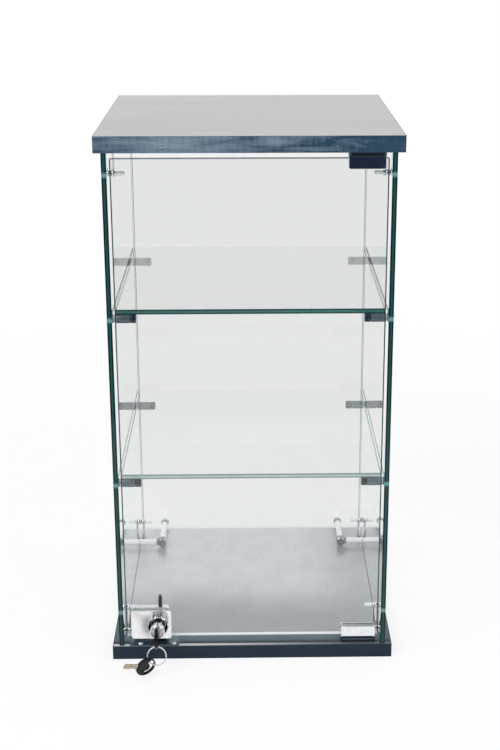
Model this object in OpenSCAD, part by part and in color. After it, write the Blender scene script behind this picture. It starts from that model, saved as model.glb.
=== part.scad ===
// Countertop glass display case with two glass shelves and a lockable, hinged glass door.
// Glass panes stand between two laminated boards and are held by chrome fittings.
// Millimetres. X to the right, Y to the back, Z up. The origin is the centre of the underside.

/* [Boards] */
// Width of the base and top boards
case_w = 350; // [320:5:420]
// Depth of the base and top boards
case_d = 360; // [330:2:440]
// Overall height
case_h = 654; // [600:2:760]
// Thickness of the base board
board_t = 18; // [16:1:25]
// Thickness of the top board
top_t = 19; // [16:1:25]
// Thickness of the edge bands glued round each board
band_t = 1; // [0.6:0.1:2]
// Bevel on the outer edges of the edge bands
band_bevel = 0.5; // [0.1:0.1:0.5]

/* [Glass] */
// Thickness of every pane and shelf
glass_t = 6; // [5:0.5:8]
// Board overhang outside the side glass
side_overhang = 8.6; // [5:0.1:12]
// Setback of the side glass from the front and back edges of the boards
side_setback = 2; // [1:0.5:5]
// Setback of the back glass from the back edges of the boards
back_setback = 2; // [1:0.5:12]
// Gap between the back glass and each side glass
back_gap = 0.5; // [0.3:0.1:1]
// Bevel ground on the polished glass edges
arris = 0.5; // [0.2:0.1:1]

/* [Floor liner] */
// Thickness of the satin sheet on the base board inside the glass
liner_t = 0.8; // [0.5:0.1:1]
// Distance of the sheet's front edge behind the door
liner_front = 10.6; // [10.4:0.1:14]
// Gap round the sheet's other edges and round the feet of the posts
liner_gap = 0.4; // [0.2:0.1:1]

/* [Shelves] */
// Height of the lower shelf's underside above the base board
lower_shelf_h = 215; // [180:0.5:240]
// Height of the upper shelf's underside above the base board
upper_shelf_h = 423.5; // [390:0.5:450]
// Setback of the shelves from the front edges of the boards
shelf_setback = 26; // [24:1:40]
// Gap between a shelf and each side glass
shelf_side_gap = 1.3; // [0.5:0.1:3]
// Gap between a shelf and the back glass
shelf_back_gap = 4; // [2:0.5:8]

/* [Shelf supports] */
// Diameter of the support barrels
support_d = 11; // [9:0.5:12]
// Length of a support from the glass to its inner end
support_len = 26; // [18:0.5:30]
// Length of the separate end cap of a support
support_cap_len = 7.5; // [5:0.5:9]
// Distance of the front supports behind a shelf's front edge
support_front = 3; // [2.5:0.5:12]
// Distance of the rear supports in front of a shelf's back edge
support_rear = 37; // [20:1:60]

/* [Through fixings] */
// Diameter of the studs of supports and braces
stud_d = 4; // [3:0.5:5]
// Depth of a stud in its barrel or tube
stud_grip = 9; // [6:0.5:10]
// Radial clearance of the studs and pins in their holes in the glass
glass_hole_clear = 0.8; // [0.5:0.1:1.2]
// Diameter of the clear washers between metal and glass
washer_d = 9; // [8.5:0.5:11]
// Thickness of the clear washers
washer_t = 0.5; // [0.3:0.1:1]
// Diameter of the caps outside the glass
cap_d = 12; // [10:0.5:14]
// Height of the caps outside the glass
cap_h = 3; // [2.5:0.1:4]

/* [Corner posts] */
// Height of the lower cross pins above the base board
pin_h = 33; // [26:0.5:40]
// Depth of the upper cross pins below the top board
top_pin_h = 30; // [26:0.5:40]
// Diameter of the post rod
post_d = 4.2; // [4:0.1:5]
// Diameter of the round post head that holds the pin
post_head_d = 7.4; // [6:0.1:9]
// Diameter of the post foot
post_foot_d = 7; // [6:0.1:7]
// Height of the post foot
post_foot_h = 4; // [3:0.5:6]
// Diameter of the cross pins
pin_d = 3.4; // [3:0.1:3.6]
// Length of the cap nut on the inner end of a cross pin
cap_nut_len = 9; // [4:0.5:11]
// Diameter of the cap nut
cap_nut_d = 5.2; // [5:0.1:6]
// Distance of the front posts behind the front edges of the boards
post_front = 43; // [40:1:70]
// Distance of the rear posts in front of the back edges of the boards
post_rear = 52; // [46:1:80]
// Diameter of the hanger screws in the boards
hanger_d = 3; // [2.5:0.1:3.4]
// Length of a hanger screw in the board
hanger_grip = 11; // [8:0.5:13]

/* [Rear braces] */
// Distance of the brace elbows inside the side glass
brace_in = 32; // [26:1:50]
// Distance of the brace elbows in front of the back glass
brace_front = 62; // [40:1:64]
// Height of the brace tubes above the base board and below the top board
brace_h = 9; // [7.5:0.1:12]
// Diameter of the brace tubes
brace_tube_d = 8; // [7:0.5:9]
// Diameter of the brace elbows
brace_elbow_d = 12; // [11.5:0.5:13]

/* [Door] */
// Setback of the door's front face from the front edges of the boards
door_setback = 12; // [11:0.5:14]
// Gap between the door and each side glass
door_side_gap = 2.2; // [2:0.1:4]
// Gap between the door and the boards
door_edge_gap = 7.6; // [7.4:0.1:9]
// Distance of the hinge axis from the door's hinge side edge
pivot_in = 7.8; // [7:0.1:9]
// Bevel ground on the door's edges
door_arris = 1; // [0.5:0.1:1.4]
// Thickness of the clear gaskets between metal and the door
gasket_t = 0.5; // [0.3:0.1:0.6]

/* [Hinges] */
// Length of a hinge clamp along the door's edge
clamp_len = 43; // [36:1:50]
// Height of a hinge clamp from its web to its rounded edge
clamp_h = 14.5; // [13:0.5:20]
// Distance of a hinge clamp from the door's hinge side edge
clamp_in = 3.8; // [2:0.1:4.5]
// Thickness of the jaws of a hinge clamp
clamp_jaw = 2.5; // [2:0.1:3]
// Corner radius of the clamps and the hinge plates
clamp_r = 3; // [1:0.5:4]
// Thickness of the hinge plates on the boards
hinge_plate_t = 5.2; // [4:0.1:5.4]
// Width of the hinge plates from front to back
hinge_plate_d = 18; // [16:0.5:20]
// Gap between a hinge plate and its clamp, which holds the washer
hinge_gap = 0.5; // [0.4:0.1:0.8]
// Diameter of the hinge pins
hinge_pin_d = 5; // [4:0.5:6]
// Diameter of the clamp's grub screws
grub_d = 4; // [3:0.5:5]

/* [Lock] */
// Width of the lock housing
lock_w = 50; // [46:1:60]
// Height of the lock housing
lock_h = 38.5; // [36:0.5:44]
// Distance of the housing from the door's free edge
lock_in = 6.8; // [5:0.1:9]
// Thickness of the housing's front plate
lock_front_t = 2.5; // [2:0.1:3]
// Thickness of the housing's back, which holds the bolt
lock_back_t = 8.5; // [8:0.1:9]
// Thickness of the web under the glass
lock_web = 1.6; // [1.4:0.1:3.2]
// How much shorter the back is than the front plate
lock_back_short = 3; // [0:0.5:6]
// Corner radius of the housing
lock_r = 3; // [1:0.5:5]
// Distance of the lock barrel's axis from the housing's left end
barrel_in = 34; // [32:0.5:35]
// Height of the lock barrel's axis above the housing's lower edge
barrel_up = 22.5; // [20:0.5:23]
// Diameter of the barrel's collar against the front plate
collar_d = 26; // [22:0.5:27]
// Length of the collar
collar_len = 11; // [8:0.5:14]
// Diameter of the barrel's nose
nose_d = 18; // [17.5:0.1:20]
// Length of the whole barrel in front of the front plate
barrel_len = 26; // [20:0.1:28]
// Diameter of the plug
plug_d = 14; // [12.5:0.1:14]
// Width of the lock bolt
bolt_w = 16; // [14:0.5:16.5]
// Thickness of the lock bolt
bolt_t = 3.4; // [3:0.1:3.6]
// Travel of the lock bolt
bolt_throw = 6; // [5:0.1:6.5]
// Width of the bolt's tail above the housing
tail_w = 4.4; // [3.5:0.1:6]
// Height of the bolt's tail above the housing
tail_h = 15.5; // [8:0.5:20]
// Offset of the tail from the barrel's axis, towards the hinges
tail_off = 2; // [0:0.5:3]
// Diameter of the pin on the plug that drives the bolt
drive_pin_d = 3; // [2.5:0.1:3.2]
// Width of the strike plate
strike_w = 62; // [60:1:70]
// Thickness of the strike plate
strike_t = 1.2; // [1:0.1:1.4]
// Distance between the strike screws
strike_pitch = 41.5; // [38:0.5:46]

/* [Keys] */
// Diameter of a key's bow
bow_d = 26; // [25:0.5:28]
// Thickness of a key's bow
bow_t = 4.2; // [3.4:0.1:4.4]
// Length of a key's blade outside the bow
blade_len = 20; // [19:0.5:23]
// Height of a key's blade
blade_h = 6.6; // [6:0.1:7.4]
// Thickness of a key's blade
blade_t = 2; // [1.5:0.1:2.2]
// Gap between the bow and the lock when the key is in
bow_gap = 1.5; // [1:0.1:3]
// Outer diameter of the key ring
ring_d = 24.5; // [24:0.5:26]
// Thickness of the key ring's wire
ring_wire = 1.4; // [1:0.05:1.5]
// Height of the spare key's lowest point above the table
spare_lift = 1; // [0.2:0.1:1.6]
// Tilt of the key ring towards the front, in degrees
ring_tilt = 13; // [8:1:20]
// Place of the spare key on the ring, in degrees from the ring's lowest point
spare_on_ring = 34; // [28:0.5:38]
// Turn of the spare key towards the front, in degrees
spare_turn = 38; // [34:1:42]
// Rise of the spare key's blade, in degrees
spare_rise = 19; // [16:1:24]
// Lean of the spare key, in degrees
spare_lean = 18; // [16:1:24]

/* [Hidden] */
$fn = 48;
fit = 0.05;        // radial clearance of pins, plugs and screws in their bores
hair = 0.1;        // clearance of flat guided faces
through = 1;       // how far a cutter runs past the face it cuts

front_y = -case_d / 2;
back_y = case_d / 2;
base_top = board_t;
top_under = case_h - top_t;
pane_h = top_under - base_top;

side_outer = case_w / 2 - side_overhang;
side_inner = side_outer - glass_t;
back_face = back_y - back_setback - glass_t;

shelf_w = 2 * (side_inner - shelf_side_gap);
shelf_front = front_y + shelf_setback;
shelf_back = back_face - shelf_back_gap;
shelf_zs = [base_top + lower_shelf_h, base_top + upper_shelf_h];

support_ys = [shelf_front + support_front, shelf_back - support_rear];
support_zs = [for (z = shelf_zs) z - support_d / 2];

post_x = side_inner - washer_t - post_head_d / 2;
post_ys = [front_y + post_front, back_y - post_rear];
pin_zs = [base_top + pin_h, top_under - top_pin_h];
pin_tip_x = post_x - post_head_d / 2 - cap_nut_len;

brace_x = side_inner - brace_in;
brace_y = back_face - brace_front;
brace_zs = [base_top + brace_h, top_under - brace_h];

// Places of the studs through the side glass, as [y, z]
support_fixings = [for (y = support_ys, z = support_zs) [y, z]];
post_fixings = [for (y = post_ys, z = pin_zs) [y, z]];
brace_fixings = [for (z = brace_zs) [brace_y, z]];

door_front = front_y + door_setback;
door_back = door_front + glass_t;
door_mid = (door_front + door_back) / 2;
door_half = side_inner - door_side_gap;
door_low = base_top + door_edge_gap;
door_high = top_under - door_edge_gap;

pivot_x = door_half - pivot_in;
clamp_right = door_half - clamp_in;
clamp_web = door_edge_gap - hinge_plate_t - hinge_gap - gasket_t;
clamp_half_d = glass_t / 2 + gasket_t + clamp_jaw;
grub_inset = 9;                                   // of the clamp screws from the clamp's ends
hinge_screw_xs = [clamp_right - clamp_len + 6, clamp_right - clamp_len + 26];

lock_left = -door_half + lock_in;
lock_low = door_low - gasket_t - lock_web;
lock_face = door_front - gasket_t - lock_front_t;  // front face of the front plate
lock_mid = door_back + gasket_t;                   // face of the back against the glass
lock_rear = lock_mid + lock_back_t;
barrel_x = lock_left + barrel_in;
barrel_z = lock_low + barrel_up;
barrel_front = lock_face - barrel_len;
lock_wall = 3;                                     // wall between the glass and the bolt
bolt_front = lock_mid + lock_wall + hair;
bolt_mid = bolt_front + bolt_t / 2;
neck_len = lock_mid + lock_wall - lock_face;       // of the barrel behind the front plate's face
bolt_low = lock_low - 1.5;
bolt_high = barrel_z + 8.2;
// The drive pin swings from 45 degrees above the axis to 45 degrees below it
drive_r = bolt_throw / (2 * sin(45));
drive_rise = drive_r * sin(45);
drive_slack = 0.3;                                 // takes up the arc of the drive pin
neck_d = plug_d + 3;
neck_clear = 0.8;                                  // round the neck in the glass
strike_x = barrel_x - 5.5;
strike_screw_y = front_y + 4.5;
strike_front = strike_screw_y - 3.6;
strike_back = bolt_mid + bolt_t / 2 + 3;
strike_slot_w = bolt_w + 1.4;
strike_slot_d = bolt_t + 1.4;

key_depth = blade_len - bow_gap;                   // of the blade in the plug
bow_y = barrel_front - bow_gap - bow_d / 2;
bow_slot_r = bow_d / 2 - 4.8;                      // radius on which the bow's slot runs
bow_slot_w = 6.8;
bow_slot_half = 68;                                // half the angle of the slot
ring_r = (ring_d - ring_wire) / 2;
wire_reach = ring_wire / sqrt(2);                  // corner of the wire from its centre
ring_y = bow_y - bow_slot_r * cos(bow_slot_half);
ring_top = barrel_z - bow_slot_r * sin(bow_slot_half) - bow_slot_w / 2 + wire_reach + hair;
ring_down = [0, -sin(ring_tilt), -cos(ring_tilt)];  // from the top of the ring to its centre
ring_at = [barrel_x, ring_y, ring_top] + ring_r * ring_down;
// Where the spare key's bow hangs on the ring
spare_hook = ring_at + ring_r * (cos(spare_on_ring) * ring_down - [sin(spare_on_ring), 0, 0]);
// Directions of the spare key: along its blade, across its bow, and square to both
spare_along = [-cos(spare_turn) * cos(spare_rise), -sin(spare_turn) * cos(spare_rise), sin(spare_rise)];
spare_side = [sin(spare_turn), -cos(spare_turn), 0];
spare_across = cos(spare_lean) * cross(spare_along, spare_side) + sin(spare_lean) * spare_side;
spare_square = cross(spare_along, spare_across);
// The bow stands on its rim, and the slot's point on the hook follows from its height
spare_upright = norm([spare_along.z, spare_across.z]);
spare_z = spare_lift + bow_d / 2 * spare_upright + bow_t / 2 * abs(spare_square.z);
spare_slot_turn = atan2(spare_along.z, spare_across.z)
    + asin((spare_hook.z - spare_z) / (bow_slot_r * spare_upright));
spare_at = spare_hook + bow_slot_r
    * (cos(spare_slot_turn) * spare_along - sin(spare_slot_turn) * spare_across);

// ---------- shapes used by several pieces ----------

// Rectangle from the origin with its corners cut at 45 degrees
module cut_rect(w, h, c) {
    polygon([[c, 0], [w - c, 0], [w, c], [w, h - c], [w - c, h], [c, h], [0, h - c], [0, c]]);
}

// Pane from the origin with a small bevel on every edge
module pane(size, cut = arris) {
    intersection() {
        linear_extrude(size.z) cut_rect(size.x, size.y, cut);
        translate([0, size.y, 0]) rotate([90, 0, 0]) linear_extrude(size.y) cut_rect(size.x, size.z, cut);
        rotate([90, 0, 90]) linear_extrude(size.x) cut_rect(size.y, size.z, cut);
    }
}

// Rectangle from the origin whose upper corners, or all four, are round
module round_rect(w, h, r, all_round = false) {
    low = all_round ? r : 0;
    translate([r, 0]) square([w - 2 * r, h]);
    translate([0, low]) square([w, h - r - low]);
    for (x = [r, w - r]) {
        translate([x, h - r]) circle(r);
        if (all_round) translate([x, r]) circle(r);
    }
}

// Cylinder whose axis runs along X, from x0 to x1
module rod_x(x0, x1, d) {
    translate([min(x0, x1), 0, 0]) rotate([0, 90, 0]) cylinder(d = d, h = abs(x1 - x0));
}

// Cylinder whose axis runs along Y, from y0 to y1
module rod_y(y0, y1, d) {
    translate([0, max(y0, y1), 0]) rotate([90, 0, 0]) cylinder(d = d, h = abs(y1 - y0));
}

// Its children on both sides of the case, drawn for the right side
module both_sides() {
    children();
    mirror([1, 0, 0]) children();
}

// Its children at the top and at the bottom, drawn for the bottom
module top_and_bottom() {
    children();
    translate([0, 0, base_top + top_under]) mirror([0, 0, 1]) children();
}

// Low round cap with a rounded rim and a blind hole for the stud, on its flat face
module outer_cap() {
    rim = 1;
    difference() {
        rotate_extrude() {
            square([cap_d / 2, cap_h - rim]);
            square([cap_d / 2 - rim, cap_h]);
            translate([cap_d / 2 - rim, cap_h - rim]) circle(rim, $fn = 24);
        }
        translate([0, 0, -through]) cylinder(d = stud_d + 2 * fit, h = cap_h - 1 + through);
    }
}

module washer(d, hole, t) {
    difference() {
        cylinder(d = d, h = t);
        translate([0, 0, -through]) cylinder(d = hole, h = t + 2 * through);
    }
}

// Set screw with a hexagon socket in its outer end, at z = 0
module set_screw(d, len) {
    socket = d / 2;
    difference() {
        cylinder(d = d, h = len);
        translate([0, 0, -through]) cylinder(d = socket / cos(30), h = through + min(len, 2), $fn = 6);
    }
}

// Pan head screw: head above z = 0, shank below, with a cross recess
module pan_screw(head_d, head_h, d, len) {
    recess = head_h * 0.6;
    difference() {
        union() {
            rotate_extrude() intersection() {
                translate([0, head_h - head_d * 0.75]) circle(head_d * 0.75);
                square([head_d / 2, head_h]);
            }
            translate([0, 0, -len]) cylinder(d = d, h = len + hair);
        }
        for (a = [0, 90]) rotate(a) {
            translate([-head_d * 0.28, -head_d * 0.06, head_h - recess])
                cube([head_d * 0.56, head_d * 0.12, recess + through]);
        }
    }
}

// ---------- boards ----------

module board(t) {
    translate([-case_w / 2 + band_t, front_y + band_t, 0])
        cube([case_w - 2 * band_t, case_d - 2 * band_t, t]);
}

// Strip along +X, with its glued face on the plane y = band_t
module band(len, t) {
    rotate([90, 0, 90]) linear_extrude(len) polygon([
        [band_t, 0], [band_t, t], [band_bevel, t], [0, t - band_bevel],
        [0, band_bevel], [band_bevel, 0]
    ]);
}

module bands(t) {
    for (turn = [0, 180]) rotate(turn) translate([-case_w / 2, front_y, 0]) band(case_w, t);
    for (turn = [90, 270]) rotate(turn)
        translate([front_y + band_t, -case_w / 2, 0]) band(case_d - 2 * band_t, t);
}

module hanger_holes() {
    both_sides() for (y = post_ys)
        translate([post_x, y, base_top - hanger_grip - hair])
            cylinder(d = hanger_d + 2 * fit, h = hanger_grip + hair + through);
}

// Countersunk screws of the hinge plates, with the head's flat face at the top
module hinge_screw(grow = 0) {
    head_r = 3;
    shank_r = 1.5;
    translate([0, 0, -hinge_plate_t - 9 - grow])
        cylinder(r = shank_r + grow, h = 9 + hinge_plate_t + grow);
    rotate_extrude() polygon([
        [0, 0], [head_r + grow, 0], [head_r + grow, -0.3], [shank_r + grow, -1.8 - grow],
        [0, -1.8 - grow]
    ]);
}

module at_hinge_screws() {
    for (x = hinge_screw_xs) translate([x, door_mid, base_top + hinge_plate_t]) children();
}

module base_board() {
    color([0.20, 0.25, 0.31]) difference() {
        board(board_t);
        hanger_holes();
        at_hinge_screws() hinge_screw(fit);
        at_strike_screws() translate([0, 0, -strike_screw_len - hair])
            cylinder(d = strike_screw_d + 2 * fit, h = strike_screw_len + through);
        translate([barrel_x - strike_slot_w / 2, bolt_mid - strike_slot_d / 2,
                   bolt_low - bolt_throw - 1])
            cube([strike_slot_w, strike_slot_d, board_t]);
    }
}

module top_board() {
    color([0.26, 0.36, 0.44]) difference() {
        translate([0, 0, top_under]) board(top_t);
        translate([0, 0, base_top + top_under]) mirror([0, 0, 1]) {
            hanger_holes();
            at_hinge_screws() hinge_screw(fit);
        }
    }
}

module base_edge_bands() {
    color([0.16, 0.21, 0.26]) bands(board_t);
}

module top_edge_bands() {
    color([0.30, 0.41, 0.49]) translate([0, 0, top_under]) bands(top_t);
}

// ---------- floor liner ----------

// Thin sheet on the base board, with a notch for the foot of each post
module floor_liner() {
    half = side_inner - liner_gap;
    low = door_back + liner_front;
    notch_r = post_foot_d / 2 + liner_gap;
    color([0.72, 0.74, 0.75]) difference() {
        translate([-half, low, base_top]) cube([2 * half, back_face - liner_gap - low, liner_t]);
        both_sides() for (y = post_ys) translate([post_x, y, base_top - through]) {
            cylinder(r = notch_r, h = liner_t + 2 * through);
            translate([0, -notch_r, 0]) cube([side_inner - post_x, 2 * notch_r, liner_t + 2 * through]);
        }
    }
}

// ---------- glass ----------

module side_pane() {
    difference() {
        translate([side_inner, front_y + side_setback, base_top])
            pane([glass_t, case_d - 2 * side_setback, pane_h]);
        for (p = concat(support_fixings, brace_fixings)) translate([0, p.x, p.y])
            rod_x(side_inner - through, side_outer + through, stud_d + 2 * glass_hole_clear);
        for (p = post_fixings) translate([0, p.x, p.y])
            rod_x(side_inner - through, side_outer + through, pin_d + 2 * glass_hole_clear);
    }
}

module side_glass_right() {
    color([0.62, 0.80, 0.78, 0.35]) side_pane();
}

module side_glass_left() {
    color([0.62, 0.80, 0.78, 0.35]) mirror([1, 0, 0]) side_pane();
}

module back_glass() {
    half = side_inner - back_gap;
    color([0.62, 0.80, 0.78, 0.35]) difference() {
        translate([-half, back_face, base_top]) pane([2 * half, glass_t, pane_h]);
        for (z = brace_zs, x = [-brace_x, brace_x]) translate([x, 0, z])
            rod_y(back_face - through, back_face + glass_t + through, stud_d + 2 * glass_hole_clear);
    }
}

module shelf(z) {
    translate([-shelf_w / 2, shelf_front, z]) pane([shelf_w, shelf_back - shelf_front, glass_t]);
}

module shelf_lower() {
    color([0.70, 0.84, 0.84, 0.45]) shelf(shelf_zs[0]);
}

module shelf_upper() {
    color([0.62, 0.80, 0.78, 0.45]) shelf(shelf_zs[1]);
}

// ---------- shelf supports ----------

module at_side_fixings(places) {
    both_sides() for (p = places) translate([0, p.x, p.y]) children();
}

// Barrel with a shallow groove where the end cap meets it
module support_barrels() {
    seat = side_inner - washer_t;
    inner = side_inner - support_len + support_cap_len;
    collar = 1.5;
    color([0.80, 0.82, 0.84]) at_side_fixings(support_fixings) difference() {
        union() {
            rod_x(inner, seat - collar, support_d);
            rod_x(inner, seat, support_d - 1);
        }
        rod_x(seat - stud_grip, seat + through, stud_d + 2 * fit);
    }
}

// End cap: full diameter, a narrow neck towards the barrel and a bevelled inner end
module support_end_caps() {
    neck = 0.8;
    bevel = 1;
    joint = side_inner - support_len + support_cap_len;
    r = support_d / 2;
    color([0.88, 0.89, 0.90]) at_side_fixings(support_fixings)
        translate([joint, 0, 0]) rotate([0, -90, 0]) rotate_extrude() polygon([
            [0, 0], [r - neck, 0], [r - neck, neck], [r, neck], [r, support_cap_len - bevel],
            [r - bevel, support_cap_len], [0, support_cap_len]
        ]);
}

module support_studs() {
    color([0.60, 0.61, 0.62]) at_side_fixings(support_fixings)
        rod_x(side_inner - washer_t - stud_grip + hair, side_outer + washer_t + cap_h - 1 - hair, stud_d);
}

module washer_pair(hole) {
    for (x = [side_inner - washer_t, side_outer])
        translate([x, 0, 0]) rotate([0, 90, 0]) washer(washer_d, hole, washer_t);
}

module support_washers() {
    color([0.93, 0.94, 0.94]) at_side_fixings(support_fixings) washer_pair(stud_d + 2 * fit);
}

// ---------- corner posts ----------

// Upright rod with a turned foot and a round head, and a flat boss from the head to the washer
module post(high) {
    r = post_d / 2;
    foot_r = post_foot_d / 2;
    cove = foot_r - r;
    difference() {
        union() {
            rotate_extrude() difference() {
                union() {
                    square([r, high]);
                    square([foot_r, post_foot_h]);
                }
                translate([foot_r, post_foot_h]) circle(cove, $fn = 32);
            }
            translate([0, 0, high]) sphere(d = post_head_d);
            translate([0, 0, high]) rod_x(0, post_head_d / 2, post_head_d - 1);
        }
        translate([0, 0, high]) rod_x(-post_head_d, post_head_d, pin_d + 2 * fit);
        translate([0, 0, -through]) cylinder(d = hanger_d + 2 * fit, h = through + hanger_in_post + hair);
    }
}

hanger_in_post = post_foot_h + 4;                  // of the hanger screw in the post

module at_posts() {
    both_sides() for (y = post_ys) translate([post_x, y, base_top]) children();
}

module corner_posts() {
    color([0.80, 0.82, 0.84]) {
        at_posts() post(pin_h);
        translate([0, 0, base_top + top_under]) mirror([0, 0, 1]) at_posts() post(top_pin_h);
    }
}

module post_pins() {
    color([0.74, 0.75, 0.77]) at_side_fixings(post_fixings)
        rod_x(pin_tip_x + 1.5, side_outer + washer_t + cap_h - 1 - hair, pin_d);
}

// Domed nut on the inner end of a pin
module post_cap_nuts() {
    dome = 1.2;
    r = cap_nut_d / 2;
    color([0.90, 0.91, 0.92]) at_side_fixings(post_fixings) difference() {
        translate([pin_tip_x + cap_nut_len, 0, 0]) rotate([0, -90, 0]) rotate_extrude() {
            square([r, cap_nut_len - dome]);
            square([r - dome, cap_nut_len]);
            translate([r - dome, cap_nut_len - dome]) circle(dome, $fn = 24);
        }
        rod_x(pin_tip_x + 1.5 - hair, pin_tip_x + cap_nut_len + through, pin_d + 2 * fit);
    }
}

module post_washers() {
    color([0.93, 0.94, 0.94]) at_side_fixings(post_fixings) washer_pair(pin_d + 2 * fit);
}

module post_hanger_screws() {
    color([0.60, 0.61, 0.62]) top_and_bottom() at_posts()
        translate([0, 0, -hanger_grip]) cylinder(d = hanger_d, h = hanger_grip + hanger_in_post);
}

// ---------- rear braces ----------

module at_braces() {
    top_and_bottom() both_sides() translate([brace_x, brace_y, brace_zs[0]]) children();
}

brace_elbow_len = 11;
brace_socket = 2;                                  // depth of the tube sockets in an elbow

// Short drum along Y with a bevelled front, a socket behind for one tube and one at the side
module brace_elbows() {
    r = brace_elbow_d / 2;
    bevel = 1.2;
    half = brace_elbow_len / 2;
    color([0.72, 0.75, 0.78]) at_braces() difference() {
        union() {
            translate([0, half, 0]) rotate([90, 0, 0]) rotate_extrude() polygon([
                [0, 0], [r, 0], [r, brace_elbow_len - bevel], [r - bevel, brace_elbow_len],
                [0, brace_elbow_len]
            ]);
            rod_x(0, r + brace_socket, brace_tube_d + 1.6);
        }
        rod_y(half - brace_socket, half + through, brace_tube_d + 2 * fit);
        rod_x(r, r + brace_socket + through, brace_tube_d + 2 * fit);
        rod_y(-half - through, -half + 4 + hair, 4 + 2 * fit);
    }
}

module brace_elbow_screws() {
    color([0.92, 0.93, 0.94]) at_braces() translate([0, -brace_elbow_len / 2, 0]) rotate([-90, 0, 0])
        set_screw(4, 4);
}

module brace_side_tubes() {
    start = brace_elbow_d / 2;
    stop = brace_in - washer_t;
    color([0.92, 0.93, 0.94]) at_braces() difference() {
        rod_x(start, stop, brace_tube_d);
        rod_x(stop - stud_grip, stop + through, stud_d + 2 * fit);
    }
}

module brace_back_tubes() {
    start = brace_elbow_len / 2 - brace_socket;
    stop = brace_front - washer_t;
    color([0.92, 0.93, 0.94]) at_braces() difference() {
        rod_y(start, stop, brace_tube_d);
        rod_y(stop - stud_grip, stop + through, stud_d + 2 * fit);
    }
}

module brace_studs() {
    past = glass_t + washer_t + cap_h - 1 - hair;
    color([0.60, 0.61, 0.62]) at_braces() {
        rod_x(brace_in - washer_t - stud_grip + hair, brace_in + past, stud_d);
        rod_y(brace_front - washer_t - stud_grip + hair, brace_front + past, stud_d);
    }
}

module brace_washers() {
    color([0.93, 0.94, 0.94]) at_braces() {
        for (x = [brace_in - washer_t, brace_in + glass_t])
            translate([x, 0, 0]) rotate([0, 90, 0]) washer(washer_d, stud_d + 2 * fit, washer_t);
        for (y = [brace_front, brace_front + glass_t + washer_t])
            translate([0, y, 0]) rotate([90, 0, 0]) washer(washer_d, stud_d + 2 * fit, washer_t);
    }
}

module outer_caps() {
    color([0.80, 0.82, 0.84]) {
        at_side_fixings(concat(support_fixings, post_fixings, brace_fixings))
            translate([side_outer + washer_t, 0, 0]) rotate([0, 90, 0]) outer_cap();
        at_braces() translate([0, brace_front + glass_t + washer_t, 0]) rotate([-90, 0, 0]) outer_cap();
    }
}

// ---------- hinges ----------

module hinge_plates() {
    color([0.55, 0.57, 0.60]) top_and_bottom() difference() {
        translate([clamp_right - clamp_len, door_mid - hinge_plate_d / 2, base_top])
            linear_extrude(hinge_plate_t) round_rect(clamp_len, hinge_plate_d, clamp_r, true);
        at_hinge_screws() hinge_screw(fit);
        translate([pivot_x, door_mid, base_top - through])
            cylinder(d = hinge_pin_d + 2 * fit, h = hinge_plate_t + 2 * through);
    }
}

module hinge_plate_screws() {
    color([0.70, 0.72, 0.74]) top_and_bottom() at_hinge_screws() difference() {
        hinge_screw();
        for (a = [0, 90]) rotate(a) translate([-1.5, -0.35, -1]) cube([3, 0.7, 1 + through]);
    }
}

module hinge_pins() {
    color([0.70, 0.72, 0.74]) top_and_bottom() translate([pivot_x, door_mid, base_top])
        cylinder(d = hinge_pin_d, h = hinge_plate_t + hinge_gap + clamp_web - 2 * hair);
}

module hinge_washers() {
    color([0.93, 0.93, 0.90]) top_and_bottom() translate([pivot_x, door_mid, base_top + hinge_plate_t])
        washer(hinge_pin_d + 4, hinge_pin_d + 2 * fit, hinge_gap - hair);
}

module at_clamp_grubs() {
    for (x = [clamp_right - clamp_len + grub_inset, clamp_right - grub_inset])
        translate([x, door_mid, door_low + (clamp_h - clamp_web) / 2]) children();
}

// Channel over the door's edge: a web with the pin's bore, and two jaws with round corners
module hinge_clamps() {
    web_low = base_top + hinge_plate_t + hinge_gap;
    web_high = web_low + clamp_web;
    slot_half = glass_t / 2 + gasket_t;
    color([0.80, 0.82, 0.84]) top_and_bottom() difference() {
        translate([clamp_right - clamp_len, door_mid + clamp_half_d, web_low]) rotate([90, 0, 0])
            linear_extrude(2 * clamp_half_d) round_rect(clamp_len, clamp_h, clamp_r);
        translate([clamp_right - clamp_len - through, door_mid - slot_half, web_high])
            cube([clamp_len + 2 * through, 2 * slot_half, clamp_h]);
        translate([pivot_x, door_mid, web_low - through])
            cylinder(d = hinge_pin_d + 2 * fit, h = clamp_web + 2 * through);
        at_clamp_grubs() rod_y(slot_half - through, clamp_half_d + through, grub_d + 2 * fit);
    }
}

module clamp_gaskets() {
    outer_half = glass_t / 2 + gasket_t;
    height = clamp_h - clamp_web;
    inset = 1;
    color([0.86, 0.88, 0.88]) top_and_bottom() difference() {
        translate([clamp_right - clamp_len + inset, door_mid - outer_half, door_low - gasket_t])
            cube([clamp_len - 2 * inset, 2 * outer_half, height - inset - 1]);
        translate([clamp_right - clamp_len, door_mid - glass_t / 2, door_low])
            cube([clamp_len, glass_t, clamp_h]);
    }
}

module clamp_screws() {
    color([0.60, 0.61, 0.62]) top_and_bottom() at_clamp_grubs()
        translate([0, clamp_half_d, 0]) rotate([90, 0, 0]) set_screw(grub_d, clamp_jaw);
}

// ---------- door ----------

module door_glass() {
    color([0.62, 0.80, 0.78, 0.35]) difference() {
        translate([-door_half, door_front, door_low])
            pane([2 * door_half, glass_t, door_high - door_low], door_arris);
        translate([barrel_x, 0, barrel_z])
            rod_y(door_front - through, door_back + through, neck_d + 2 * neck_clear);
    }
}

// ---------- lock ----------

module at_lock_grubs() {
    for (x = [8, 20]) translate([lock_left + x, 0, lock_low + lock_h * 0.55]) children();
}

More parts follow.
